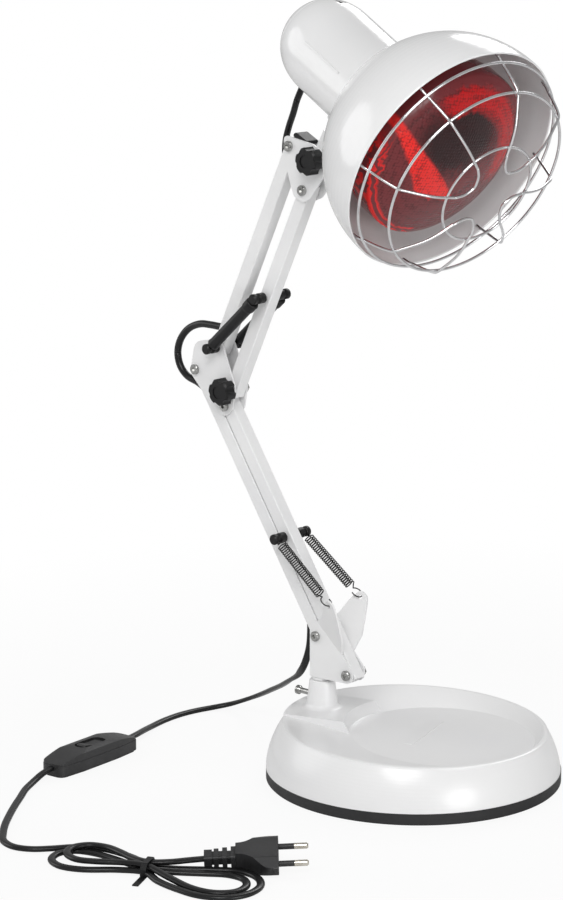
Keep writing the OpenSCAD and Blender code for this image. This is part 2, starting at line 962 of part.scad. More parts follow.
// Radius of the domed end at a distance behind the straight part.
function dome_r(s, r) = r * pow(1 - pow(min(s / dome_len, 1), 2.2), 1 / 2.2);
function dome_line(from, to, inset, steps) =
  [for (i = [0:steps]) let (s = from + (to - from) * i / steps)
    [dome_r(s, housing_r) - inset, -housing_back - s]];

seam = 0.35; // shallow groove where the end cap meets the dome
vent_z = -housing_back - 15;
module socket_housing() {
  split = -housing_back - cap_z;
  outside = dome_line(0, split - 0.6, 0, 12);
  inside = dome_line(0, split, shade_wall, 12);
  color(white)
    in_head()
      difference() {
        union() {
          rotate_extrude($fn = 96)
            polygon(concat([[housing_r, neck_z - 0.3], [housing_r - neck_wall + 0.1, neck_low - 0.3],
              [housing_r - neck_wall + 0.1, -housing_back]],
              inside, [[dome_r(split, housing_r) - seam, cap_z + 0.2]],
              [for (i = [len(outside) - 1:-1:0]) outside[i]]));
          // pad under the stem
          intersection() {
            translate([housing_r - 3, 0, 0])
              rotate([0, 90, 0])
                cylinder(r = pad_r, h = pad_out - housing_r + 3);
            translate([0, 0, -50])
              difference() {
                cylinder(r = housing_r + 10, h = 100);
                translate([0, 0, -1])
                  cylinder(r = housing_r - neck_wall + 0.1, h = 102);
              }
          }
          // raised seam along the near side
          rotate(255)
            translate([housing_r - 0.2, -0.6, -housing_back + 2])
              cube([0.8, 1.2, 38]);
        }
        translate([0, 0, 0])
          rotate([0, 90, 0])
            cylinder(d = spigot_d + 2 * fit, h = pad_out + 5);
        // cord slot below and a like vent above
        for (side = [0, 180])
          rotate(side)
            translate([housing_r / 2, -3.4, vent_z - 6])
              cube([housing_r, 6.8, 12]);
      }
}

module housing_cap() {
  from = -housing_back - cap_z;
  outside = dome_line(from, dome_len, 0, 12);
  color(white)
    in_head()
      rotate_extrude($fn = 96)
        polygon(concat([[0, cap_z - 0.05]], [[dome_r(from, housing_r) - seam, cap_z - 0.05]],
          [for (i = [1:len(outside) - 1]) outside[i]]));
}

// ---- Lamp holder and bulb ----
holder_d = 44;
holder_z = -18;
holder_len = 34;
cap_d = 26;
cap_len = 24;
module lamp_holder() {
  color("ivory")
    in_head()
      difference() {
        union() {
          translate([0, 0, holder_z])
            cylinder(d = holder_d, h = holder_len);
          translate([0, 0, holder_z])
            cylinder(r = housing_r - neck_wall - 0.1, h = 3);
        }
        translate([0, 0, holder_z + 12])
          cylinder(d = cap_d + 1, h = holder_len);
        // room for the stem's spigot and nut
        translate([holder_d / 2 - 3, -9, holder_z - 1])
          cube([20, 18, 34]);
      }
}

face_z = opening_at - bulb_set; // edge of the bulb's face
cap_at = holder_z + 12;
module bulb_cap() {
  color(steel)
    in_head()
      rotate_extrude()
        polygon(concat([[0, cap_at], [5, cap_at], [9, cap_at + 3]],
          [for (i = [0:7]) [cap_d / 2 - (i % 2) * 0.9, cap_at + 5 + i * 2.2]],
          [[cap_d / 2, cap_at + cap_len], [0, cap_at + cap_len]]));
}

face_crown = 14; // how far the face swells forward
glass_t = 2;
// Outline of the bulb from its neck round the mirror's bowl and over the face, for an inset.
function bulb_line(inset) =
  let (bulb_r = bulb_d / 2, neck_r = cap_d / 2 + 3, shoulder = face_z - 18, low = cap_at + cap_len)
  let (edge_r = bulb_r - 3.5, face_r = (bulb_r * bulb_r + face_crown * face_crown) / (2 * face_crown))
  let (face_low = face_z - sqrt(face_r * face_r - edge_r * edge_r))
  concat([[cap_d / 2 - inset, low], [neck_r - inset, low + 6], [neck_r + 2 - inset, low + 14]],
    [for (i = [1:8]) let (a = 90 * i / 8)
      [neck_r + 2 - inset + (bulb_r - neck_r - 2) * sin(a), shoulder - (shoulder - low - 14) * cos(a)]],
    [[bulb_r - inset, shoulder + 4], [bulb_r - 0.8 - inset, face_z - 4], [edge_r - inset * 0.7, face_z - inset * 0.5]],
    [for (i = [1:10]) let (r = edge_r * (1 - i / 10)) [r, face_low + sqrt(face_r * face_r - r * r) - inset]]);
module bulb_glass() {
  outer = bulb_line(0);
  inner = bulb_line(glass_t);
  color([0.75, 0.05, 0.05])
    in_head()
      rotate_extrude($fn = 96)
        polygon(concat(outer, [for (i = [len(inner) - 1:-1:0]) inner[i]]));
}

// ---- Guard ----
// Three rings, and four petals that rise from inside the shade over them. Each petal is one bent wire:
// two legs, joined by a half turn inside the small ring.
guard_tip_r = shade_r - shade_wall - guard_wire / 2 - seat;
guard_tip_z = opening_at - 4;
guard_rim_r = shade_r - 3.5;
guard_rim_z = opening_at + 6;
guard_step = 22.5; // half the angle between neighbouring legs
weld = guard_wire * 0.85; // distance between the middles of two welded wires

module ring(r, z) {
  translate([0, 0, z])
    rotate_extrude($fn = 96)
      translate([r, 0])
        circle(d = guard_wire, $fn = 24);
}

module guard_rings() {
  color("lightgray")
    in_head() {
      ring(guard_rim_r, guard_rim_z);
      ring(guard_mid_d / 2, opening_at + guard_mid_h);
      ring(guard_top_d / 2, opening_at + guard_top_h);
    }
}

function leg_point(r, z) = [r * cos(guard_step), r * sin(guard_step), opening_at + z];
petal_leg =
  let (mid = guard_mid_d / 2, top = guard_top_d / 2, z1 = guard_mid_h + weld * 0.85)
  let (z2 = guard_top_h + weld, in_rim = guard_rim_r - weld)
  [leg_point(guard_tip_r, guard_tip_z - opening_at), leg_point((guard_tip_r + in_rim) / 2 + 0.4, 1),
    leg_point(in_rim, 6), leg_point((in_rim + mid) / 2 + 1, (6 + z1) / 2), leg_point(mid + 2.6, z1 - 4),
    leg_point(mid + weld * 0.5, z1), leg_point(mid - 5, z1 + 3.4),
    leg_point((mid + top) / 2, (z1 + z2) / 2 + 2.6), leg_point(top + 7, z2 - 0.8), leg_point(top, z2),
    leg_point(top * 0.85, z2 + 0.4)];
// The half turn has blunt sides, as a bent wire has.
petal_turn = [for (p = [[0.66, 0.23], [0.575, 0.115], [0.545, 0], [0.575, -0.115], [0.66, -0.23]])
  [guard_top_d / 2 * p.x, guard_top_d / 2 * p.y, opening_at + guard_top_h + weld + 0.6]];
petal_line = concat(petal_leg, petal_turn,
  [for (i = [len(petal_leg) - 1:-1:0]) [petal_leg[i].x, -petal_leg[i].y, petal_leg[i].z]]);

module guard_petals() {
  line = smooth(petal_line);
  color("lightgray")
    in_head()
      for (i = [0:3])
        rotate(i * 90 - 21)
          sweep(line, [for (p = line) [p.x, p.y, 60]], guard_wire, guard_wire, 8);
}

// ---- Cord ----
// Points are hand-chosen. Those of the arm are [x, y, z] from the post, those on the table are
// from the middle of the base.
module cord(pts, up = [0, 0, 1], w = cord_w, t = cord_t, sides = 8) {
  fine = smooth(pts);
  sweep(fine, [for (p = fine) up], w, t, sides);
}

// Adds a point between each pair of chosen points, on one smooth curve.
function smooth(p, cuts = 2) =
  let (n = len(p))
  concat([for (i = [0:n - 2], j = [0:cuts - 1])
    let (a = p[max(i - 1, 0)], b = p[i], c = p[i + 1], d = p[min(i + 2, n - 1)], t = j / cuts)
    0.5 * (2 * b + (c - a) * t + (2 * a - 5 * b + 4 * c - d) * t * t + (3 * b - a - 3 * c + d) * t * t * t)],
    [p[n - 1]]);

head_route = [[-35.5, 0, 409.8], [-33.6, 0, 414.5], [-33.3, 0, 420], [-34.4, 0, 427], [-33.8, 0, 436],
  [-31, 0, 445], [-28, 1, 454], [-25.5, 2, 463], [-23, 4, 471], [-20.5, 5.4, 479.5]];
elbow_route = [[-80.2, 0, 314], [-83, 0, 307.6], [-87.6, 0, 302.8], [-94, 0, 300.4], [-104, 0, 300.5],
  [-115, 0, 300], [-126, 0, 295.5], [-134, 0, 287], [-137, 0, 277], [-134.5, 0, 267.5],
  [-127.5, 0, 261], [-118, 0, 258], [-110, 0, 254.2], [-103, 0, 249.6], [-98.2, 0, 244.2]];
drop_route = [[-81.2, -20, 117.5], [-78.6, -20, 112], [-77.3, -20, 107], [-77, -20, 101], [-77, -20, 93],
  [-78, -20, 83], [-81.5, -19.5, 73], [-88, -16.5, 64], [-98, -10.5, 56], [-111, -3, 48.5],
  [-130, 9, 38], [-150, 20, 28], [-169, 29, 18.5], [-185, 33, 11], [-199, 31, 5], [-209, 22, 2.2],
  [-214, 8, 1.8], [-216, -8, 1.8], [-215, -25, 1.8], [-211, -42, 2.2], [-204, -58, 4.2],
  [-197, -73, 6], [-193.1, -87, 6.5]];
floor_route = [[-187, -165, 6.5], [-186, -176, 5], [-183, -188, 2.6], [-177, -201, 1.8], [-168, -214, 1.8],
  [-157, -230, 1.8], [-146, -245, 1.8], [-135, -259, 1.8], [-124, -271, 1.8], [-113, -281, 1.8],
  [-100, -284.5, 1.8], [-88, -280, 1.8], [-78.5, -270, 1.8], [-70, -259, 1.8], [-58, -250.5, 1.8],
  [-43, -247.5, 1.8]];
// Three runs lie on the table and two on top of them, all through the tie.
hank_route = [[-43, -247.5, 1.8], [-25, -249, 2.2], [-6.4, -253.9, 3], [8, -244.5, 2.2], [24, -231, 1.8],
  [39, -221.5, 1.8], [55, -222, 1.8], [67, -232, 1.8], [70.5, -247, 1.8], [64.5, -261, 1.8],
  [50, -269, 1.8], [32, -270, 1.8], [14, -268.5, 2.2], [-1.6, -264.1, 3], [-19, -271, 2.2],
  [-36, -284, 1.8], [-51, -289.5, 1.8], [-64, -285, 1.8], [-69, -274, 1.8], [-64, -263.5, 1.8],
  [-51, -258.5, 1.8], [-36, -257.5, 1.8], [-20, -258.5, 2.2], [-4, -259, 3], [10, -251, 2.2],
  [25, -239.5, 1.8], [38, -231, 1.8], [51, -230, 1.8], [60.5, -238, 1.8], [62, -250, 1.8],
  [52.5, -260, 1.8], [37, -263.5, 2.2], [18, -263, 4.2], [-2.8, -261.5, 6.4], [-18, -266, 5.9],
  [-33, -275, 5.4], [-46, -280.5, 5.2], [-58, -277, 5.2], [-63.5, -267, 5.2], [-59, -256.5, 5.2],
  [-47, -252, 5.3], [-33, -253.5, 5.5], [-19, -256.7, 5.9], [-6, -256, 6.4], [4.5, -248, 6.8],
  [12, -237.5, 7], [19, -228.6, 7.3]];

module cord_head() {
  color(black)
    at_post()
      cord(head_route, [-1, 0, 0]);
}

module cord_elbow() {
  color(black)
    at_post()
      cord(elbow_route, [0, 1, 0], cord_t, cord_w);
}

module cord_drop() {
  color(black)
    cord(drop_route, [-1, 0, 0.7]);
}

module cord_floor() {
  color(black)
    cord(floor_route);
}

module cord_hank() {
  color(black)
    cord(hank_route, sides = 6);
}

// The tie goes once round the five runs, and its end lies beside them.
tie_at = [-4, -259, 0];
tie_turn = 25;
module cord_tie() {
  outer = [[-9.4, 0.2], [9.4, 0.2], [9.4, 5.6], [6.4, 9.2], [-6.4, 9.2], [-9.4, 5.6]];
  inner = [[-8.5, 1.1], [8.5, 1.1], [8.5, 5.2], [6, 8.3], [-6, 8.3], [-8.5, 5.2]];
  color(black)
    translate(tie_at)
      rotate(tie_turn) {
        rotate([90, 0, 90])
          translate([0, 0, -2])
            linear_extrude(4)
              difference() {
                polygon(rounded(outer, even(6, 1.2)));
                polygon(rounded(inner, even(6, 0.8)));
              }
        translate([-2, -24, 0.2])
          cube([4, 16, 0.8]);
      }
}

// ---- Inline switch ----
switch_at = [-190, -126, 0];
switch_turn = -86;
switch_split = 8.5;
rocker_l = 20;
rocker_w = 8;
module in_switch() {
  translate(switch_at)
    rotate(switch_turn)
      children();
}

// Plan of the switch: nearly a rectangle, a little wider in the middle, with round corners.
module switch_plan(inset = 0) {
  l = switch_len / 2 - inset;
  w = switch_w / 2 - inset;
  polygon(rounded([[-l, -w * 0.84], [-l * 0.45, -w], [l * 0.45, -w], [l, -w * 0.84], [l, w * 0.84],
    [l * 0.45, w], [-l * 0.45, w], [-l, w * 0.84]], [5, 30, 30, 5, 5, 30, 30, 5]));
}

module switch_base() {
  color(black)
    in_switch() {
      linear_extrude(1.2)
        switch_plan(1.2);
      translate([0, 0, 1.2])
        linear_extrude(switch_split - 1.2)
          switch_plan();
    }
}

// The top is arched along the switch and crowned across it, and dips round the rocker.
module switch_top() {
  drop = 5.5; // how far the arched top falls to its ends
  crown = 1.3; // how far it falls to its sides
  arch = (switch_len * switch_len / 4 + drop * drop) / (2 * drop);
  barrel = (switch_w * switch_w / 4 + crown * crown) / (2 * crown);
  dip_l = rocker_l / 2 + 3;
  dip_w = rocker_w / 2 + 1.8;
  color(black)
    in_switch()
      difference() {
        intersection() {
          translate([0, 0, switch_split])
            linear_extrude(switch_h)
              switch_plan(0.25);
          translate([0, 0, switch_h - arch])
            rotate([90, 0, 0])
              cylinder(r = arch, h = switch_w + 2, center = true, $fn = 256);
          translate([0, 0, switch_h - barrel])
            rotate([0, 90, 0])
              cylinder(r = barrel, h = switch_len + 2, center = true, $fn = 256);
        }
        translate([0, 0, switch_h - 2])
          linear_extrude(10)
            polygon(rounded([[-dip_l, -dip_w], [dip_l, -dip_w], [dip_l, dip_w], [-dip_l, dip_w]], even(4, 5)));
        translate([-rocker_l / 2 - 0.5, -rocker_w / 2 - 0.3, switch_split + 1])
          cube([rocker_l + 1, rocker_w + 0.6, switch_h]);
      }
}

module switch_rocker() {
  low = switch_split + 2;
  l = rocker_l / 2;
  color([0.15, 0.15, 0.15])
    in_switch()
      slab(-rocker_w / 2, rocker_w / 2)
        polygon(rounded([[-l + 1.5, low], [l - 1.5, low], [l, switch_h - 2.2], [l - 0.4, switch_h + 0.4],
          [0, switch_h - 1.6], [-l + 0.6, switch_h - 1.4], [-l, switch_h - 2.4]], [0.3, 0.3, 0.5, 1.2, 8, 1, 0.5]));
}

// ---- Plug ----
// Local +X runs from the cord's end through the relief and the body to the pins.
plug_at = [17.4, -230, 7.3];
plug_turn = 41.7;
plug_pitch = 2.6;
plug_roll = 15;
relief_len = 21;
plug_len = 47;
plug_w = 35.3;
plug_t = 13.7;
pin_gap = 18.6;
module in_plug() {
  translate(plug_at)
    rotate([0, -plug_pitch, plug_turn])
      rotate([plug_roll, 0, 0])
        children();
}

module plug_body() {
  w = plug_w / 2;
  t = plug_t / 2;
  color(black)
    in_plug() {
      intersection() {
        linear_extrude(plug_t, center = true)
          polygon(rounded([[relief_len - 1, -6], [26, -6.4], [39, -w], [plug_len - 3.5, -w], [plug_len - 3.5, -w - 0.6],
            [plug_len, -w - 0.6], [plug_len, w + 0.6], [plug_len - 3.5, w + 0.6], [plug_len - 3.5, w],
            [39, w], [26, 6.4], [relief_len - 1, 6]], [0.5, 14, 10, 0.2, 0.3, 0.5, 0.5, 0.3, 0.2, 10, 14, 0.5]));
        rotate([90, 0, 90])
          linear_extrude(plug_len)
            polygon(rounded([[-w - 0.6, -2.4], [-w + 7, -t], [w - 7, -t], [w + 0.6, -2.4], [w + 0.6, 2.4],
              [w - 7, t], [-w + 7, t], [-w - 0.6, 2.4]], even(8, 1.5)));
      }
      // notched relief round the cord
      rotate([90, 0, 90])
        linear_extrude(relief_len)
          polygon(rounded([[-4, -3.1], [4, -3.1], [4, 3.1], [-4, 3.1]], even(4, 1.4)));
      for (i = [0:3])
        translate([i * 5.4 + (i == 0 ? 0 : 0.8), 0, 0])
          rotate([90, 0, 90])
            linear_extrude(i == 0 ? 5 : 3)
              polygon(rounded([[-5 - i * 0.4, -3.9 - i * 0.3], [5 + i * 0.4, -3.9 - i * 0.3],
                [5 + i * 0.4, 3.9 + i * 0.3], [-5 - i * 0.4, 3.9 + i * 0.3]], even(4, 1.5)));
      for (y = [-pin_gap / 2, pin_gap / 2])
        translate([plug_len - 1, y, 0])
          rotate([0, 90, 0])
            cylinder(d = 3.8, h = 11);
    }
}

module plug_pins() {
  color(steel)
    in_plug()
      for (y = [-pin_gap / 2, pin_gap / 2])
        translate([plug_len + 10, y, 0])
          rotate([0, 90, 0])
            union() {
              cylinder(d = 4, h = 8);
              translate([0, 0, 8])
                cylinder(d1 = 4, d2 = 2.6, h = 1);
            }
}

base_cover();
base_weight();
base_plate();
foot_ring();
base_screws();
thumb_screw();
bracket_post();
bracket_plate_near();
bracket_plate_far();
bracket_bolts();
lower_rear_tube();
cord_in_lower_arm();
lower_front_tube();
spring_pin();
spring_spools();
spring_near();
spring_far();
elbow_plate_near();
elbow_plate_far();
elbow_bolts();
elbow_pin();
elbow_spools();
elbow_knob_bolt();
elbow_knob();
upper_rear_tube();
cord_in_upper_arm();
upper_front_tube();
sleeve_pin();
sleeve_spools();
spring_sleeve_near();
spring_sleeve_far();
head_plate_near();
head_plate_far();
head_bolts();
head_block();
head_knob_bolt();
head_knob();
head_stem();
stem_nut();
shade();
socket_housing();
housing_cap();
lamp_holder();
bulb_glass();
bulb_cap();
guard_rings();
guard_petals();
cord_head();
cord_elbow();
cord_drop();
cord_floor();
cord_hank();
cord_tie();
switch_base();
switch_top();
switch_rocker();
plug_body();
plug_pins();
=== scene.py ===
# %% [markdown]
# Infrared heat lamp on a spring-balanced arm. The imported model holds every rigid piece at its
# true size, so this lesson starts from it and gives each piece its finish. It then adds what is
# better made here: cords, coil springs, spring sleeves, the guard's bent wire and the bulb.

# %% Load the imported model
import bpy
import bmesh
import math
from mathutils import Matrix, Vector


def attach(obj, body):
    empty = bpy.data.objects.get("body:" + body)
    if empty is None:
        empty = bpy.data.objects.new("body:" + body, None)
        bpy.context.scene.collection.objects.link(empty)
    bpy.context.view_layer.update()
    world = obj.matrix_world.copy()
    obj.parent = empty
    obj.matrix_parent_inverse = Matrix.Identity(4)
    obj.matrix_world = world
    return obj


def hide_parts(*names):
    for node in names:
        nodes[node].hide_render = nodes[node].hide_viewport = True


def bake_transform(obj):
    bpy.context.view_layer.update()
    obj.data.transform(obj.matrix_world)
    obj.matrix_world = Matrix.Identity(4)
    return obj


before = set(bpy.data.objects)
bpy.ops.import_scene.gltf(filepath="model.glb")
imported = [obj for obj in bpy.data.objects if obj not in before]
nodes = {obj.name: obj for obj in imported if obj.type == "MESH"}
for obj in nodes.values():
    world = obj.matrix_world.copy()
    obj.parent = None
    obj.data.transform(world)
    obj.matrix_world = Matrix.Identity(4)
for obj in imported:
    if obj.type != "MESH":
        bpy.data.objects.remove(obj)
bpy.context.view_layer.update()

# %% [markdown]
# The camera stands low and far, to the right of the arm, and looks slightly down. A long lens
# keeps the arm's tubes nearly parallel. Its frame is built from three directions: right, up
# and back, which is how a camera's matrix is laid out.

# %% Camera
MM = 0.001
LENS = 116.58
CAMERA_AT = Vector((1214.18, -1498.52, 645.32))
right = Vector((0.746489, 0.665397, -0.000781))
up = Vector((-0.139191, 0.157302, 0.977692))
back = Vector((0.650676, -0.729728, 0.210042))
camera_data = bpy.data.cameras.new("camera")
camera_data.lens = LENS
camera = bpy.data.objects.new("camera", camera_data)
bpy.context.scene.collection.objects.link(camera)
turn = Matrix((right, up, back)).transposed().to_4x4()
camera.matrix_world = Matrix.Translation(CAMERA_AT * MM) @ turn
bpy.context.scene.camera = camera
print("camera distance from the base, m:", round(camera.location.length, 3))

# %% [markdown]
# Places on the arm are given as in a side drawing: x forward from the post, z up, in millimetres.
# The four links are parallelograms, so each pivot follows from the one below it.

# %% Places on the arm
POST = Vector((-65.985, -20.174, 0))


def arm(x, z, y=0.0):
    return (POST + Vector((x, y, z))) * MM


B1, B2 = (0, 94.21), (28, 71.21)
E1, E2, E3, E4 = (-113.28, 268.65), (-85.28, 245.65), (-80.78, 257.65), (-93.08, 286.65)
H1, H2, H3 = (-25.04, 432.57), (-12.74, 403.57), (-0.04, 424.87)
SPRING_PIN, SLEEVE_PIN = (-29.73, 160.11), (-48.67, 326.53)
HEAD_TILT, HEAD_TURN, TILT_TO_HEAD = 29, 7, 65.6
tilt = math.radians(HEAD_TILT)
HEAD = (H3[0] + TILT_TO_HEAD * math.sin(tilt), H3[1] + TILT_TO_HEAD * math.cos(tilt))
in_head = (Matrix.Translation(arm(*HEAD)) @ Matrix.Rotation(math.radians(90 + HEAD_TILT), 4, "Y")
           @ Matrix.Rotation(math.radians(HEAD_TURN), 4, "X") @ Matrix.Scale(MM, 4))
print("head's middle, m:", [round(v, 4) for v in arm(*HEAD)])

# %% [markdown]
# A flat two-core lead isn't round, so a curve's own bevel won't do. Instead one ring of the
# lead's section is laid at the exit and extruded from place to place along the route. Each
# place is a matrix, and the ring moves by the step from the last place to the next.

# %% A helper that sweeps a ring along a line
CUTS = 5


def smooth(points, cuts=CUTS):
    """A curve through all the points, with this many steps from each to the next."""
    p = [Vector(q) for q in points]
    line = []
    for i in range(len(p) - 1):
        a, b, c, d = p[max(i - 1, 0)], p[i], p[i + 1], p[min(i + 2, len(p) - 1)]
        for j in range(cuts):
            t = j / cuts
            line.append(0.5 * (2 * b + (c - a) * t + (2 * a - 5 * b + 4 * c - d) * t * t
                               + (3 * b - a - 3 * c + d) * t ** 3))
    return line + [p[-1]]


def finished(bm, name, material=None, flat=False):
    bmesh.ops.recalc_face_normals(bm, faces=bm.faces)
    mesh = bpy.data.meshes.new(name)
    bm.to_mesh(mesh)
    bm.free()
    piece = bpy.data.objects.new(name, mesh)
    bpy.context.scene.collection.objects.link(piece)
    for polygon in mesh.polygons:
        polygon.use_smooth = not flat
    if material:
        mesh.materials.append(material)
    return piece


def swept(name, line, width, thickness, up, sides=16, span=None):
    """line is in metres; up is one direction, or one per point; span is the stretch to make."""
    ups = [Vector(up)] * len(line) if not isinstance(up, list) else up
    start, stop = span or (0, len(line) - 1)
    bm = bmesh.new()
    ring = bmesh.ops.create_circle(bm, segments=sides, radius=thickness / 2)["verts"]
    shift = (width - thickness) / 2
    if shift > 1e-7:
        for way in (-1, 1):
            half = [v for v in ring if v.co.x * way > 1e-6]
            bmesh.ops.translate(bm, vec=(way * shift, 0, 0), verts=half)
    edges, before = bm.edges[:], Matrix()
    first, last = edges[:], edges
    for i in range(start, stop + 1):
        ahead = (line[min(i + 1, len(line) - 1)] - line[max(i - 1, 0)]).normalized()
        side = ahead.cross(ups[i]).normalized()
        top = side.cross(ahead)
        place = Matrix.Translation(line[i]) @ Matrix((side, top, ahead)).transposed().to_4x4()
        if i > start:
            made = bmesh.ops.extrude_edge_only(bm, edges=last)["geom"]
            ring = [g for g in made if isinstance(g, bmesh.types.BMVert)]
            fresh = set(ring)
            last = [g for g in made if isinstance(g, bmesh.types.BMEdge)
                    and g.verts[0] in fresh and g.verts[1] in fresh]
        bmesh.ops.transform(bm, matrix=place @ before.inverted(), verts=ring)
        before = place
    bmesh.ops.holes_fill(bm, edges=[e for e in bm.edges if e.is_boundary])
    return finished(bm, name)


def measure(line):
    return sum((b - a).length for a, b in zip(line, line[1:]))


# %% [markdown]
# The routes are the same points as the solids'. The lead leaves the lower tube's slot, drops
# behind the post, runs down to the table and into the switch. From there it curls towards the
# front, where it is folded into a small hank held by a tie, and ends in its plug.

# %% Cords
DROP = [(-81.2, -20, 117.5), (-78.6, -20, 112), (-77.3, -20, 107), (-77, -20, 101), (-77, -20, 93),
        (-78, -20, 83), (-81.5, -19.5, 73), (-88, -16.5, 64), (-98, -10.5, 56), (-111, -3, 48.5),
        (-130, 9, 38), (-150, 20, 28), (-169, 29, 18.5), (-185, 33, 11), (-199, 31, 5), (-209, 22, 2.2),
        (-214, 8, 1.8), (-216, -8, 1.8), (-215, -25, 1.8), (-211, -42, 2.2), (-204, -58, 4.2),
        (-197, -73, 6), (-193.1, -87, 6.5)]
FLOOR = [(-187, -165, 6.5), (-186, -176, 5), (-183, -188, 2.6), (-177, -201, 1.8), (-168, -214, 1.8),
         (-157, -230, 1.8), (-146, -245, 1.8), (-135, -259, 1.8), (-124, -271, 1.8), (-113, -281, 1.8),
         (-100, -284.5, 1.8), (-88, -280, 1.8), (-78.5, -270, 1.8), (-70, -259, 1.8),
         (-58, -250.5, 1.8), (-43, -247.5, 1.8)]
HANK = [(-25, -249, 2.2), (-6.4, -253.9, 3), (8, -244.5, 2.2), (24, -231, 1.8),
        (39, -221.5, 1.8), (55, -222, 1.8), (67, -232, 1.8), (70.5, -247, 1.8), (64.5, -261, 1.8),
        (50, -269, 1.8), (32, -270, 1.8), (14, -268.5, 2.2), (-1.6, -264.1, 3), (-19, -271, 2.2),
        (-36, -284, 1.8), (-51, -289.5, 1.8), (-64, -285, 1.8), (-69, -274, 1.8), (-64, -263.5, 1.8),
        (-51, -258.5, 1.8), (-36, -257.5, 1.8), (-20, -258.5, 2.2), (-4, -259, 3), (10, -251, 2.2),
        (25, -239.5, 1.8), (38, -231, 1.8), (51, -230, 1.8), (60.5, -238, 1.8), (62, -250, 1.8),
        (52.5, -260, 1.8), (37, -263.5, 2.2), (18, -263, 4.2), (-2.8, -261.5, 6.4), (-18, -266, 5.9),
        (-33, -275, 5.4), (-46, -280.5, 5.2), (-58, -277, 5.2), (-63.5, -267, 5.2), (-59, -256.5, 5.2),
        (-47, -252, 5.3), (-33, -253.5, 5.5), (-19, -256.7, 5.9), (-6, -256, 6.4), (4.5, -248, 6.8),
        (12, -237.5, 7), (19, -228.6, 7.3)]
ELBOW = [(-80.2, 0, 314), (-83, 0, 307.6), (-87.6, 0, 302.8), (-94, 0, 300.4), (-104, 0, 300.5),
         (-115, 0, 300), (-126, 0, 295.5), (-134, 0, 287), (-137, 0, 277), (-134.5, 0, 267.5),
         (-127.5, 0, 261), (-118, 0, 258), (-110, 0, 254.2), (-103, 0, 249.6), (-98.2, 0, 244.2)]
HEAD_LEAD = [(-35.5, 0, 409.8), (-33.6, 0, 414.5), (-33.3, 0, 420), (-34.4, 0, 427), (-33.8, 0, 436),
             (-31, 0, 445), (-28, 1, 454), (-25.5, 2, 463), (-23, 4, 471), (-20.5, 5.4, 479.5)]
CORD_W, CORD_T, CORD_SIZE = 5.2 * MM, 3.2 * MM, 0.0052


def lead(name, points, up, on_arm=False, wide=CORD_W, thick=CORD_T, parts=()):
    """The lead is made in one piece, or in parts that meet at the route's points so numbered."""
    shift = POST if on_arm else Vector()
    line = [(q + shift) * MM for q in smooth(points)]
    ups = up(line) if callable(up) else up
    marks = [0, *[CUTS * i for i in parts], len(line) - 1]
    print(name, "length, mm:", round(measure(line) * 1000, 1))
    made = []
    for number, (i, j) in enumerate(zip(marks, marks[1:]), 1):
        piece = swept(f"{name}_{number}" if parts else name, line, wide, thick, ups, span=(i, j))
        made.append((piece, line[i:j + 1]))
    return made


LIES_BELOW, HANGS_ABOVE = 0.03, 0.07
UPWARDS, TO_THE_FRONT = Vector((0, 0, 1)), Vector((0.65, -0.73, 0.15))


def facing_out(line):
    """The lead hangs with its flat side towards the lamp's front, and lies flat where it lands."""
    shares = [min(max((p.z - LIES_BELOW) / (HANGS_ABOVE - LIES_BELOW), 0), 1) for p in line]
    return [UPWARDS.lerp(TO_THE_FRONT, share) for share in shares]


drop = lead("lead_to_switch", DROP, facing_out, parts=(3,))
table = lead("lead_to_plug", FLOOR + HANK, (0, 0, 1))
elbow_loop = lead("lead_at_elbow", ELBOW, (0, 1, 0), True, CORD_T, CORD_W, parts=(8,))
head_loop = lead("lead_at_head", HEAD_LEAD, (-1, 0, 0), True, parts=(3, 7))

# %% [markdown]
# Every finish has the same bones: a soft noise that tints the colour a little, a finer one that
# varies the gloss, and a fine one that gives the surface its skin. Only the numbers differ
# between sprayed enamel, moulded plastic and zinc plate, so one helper sets them all up.

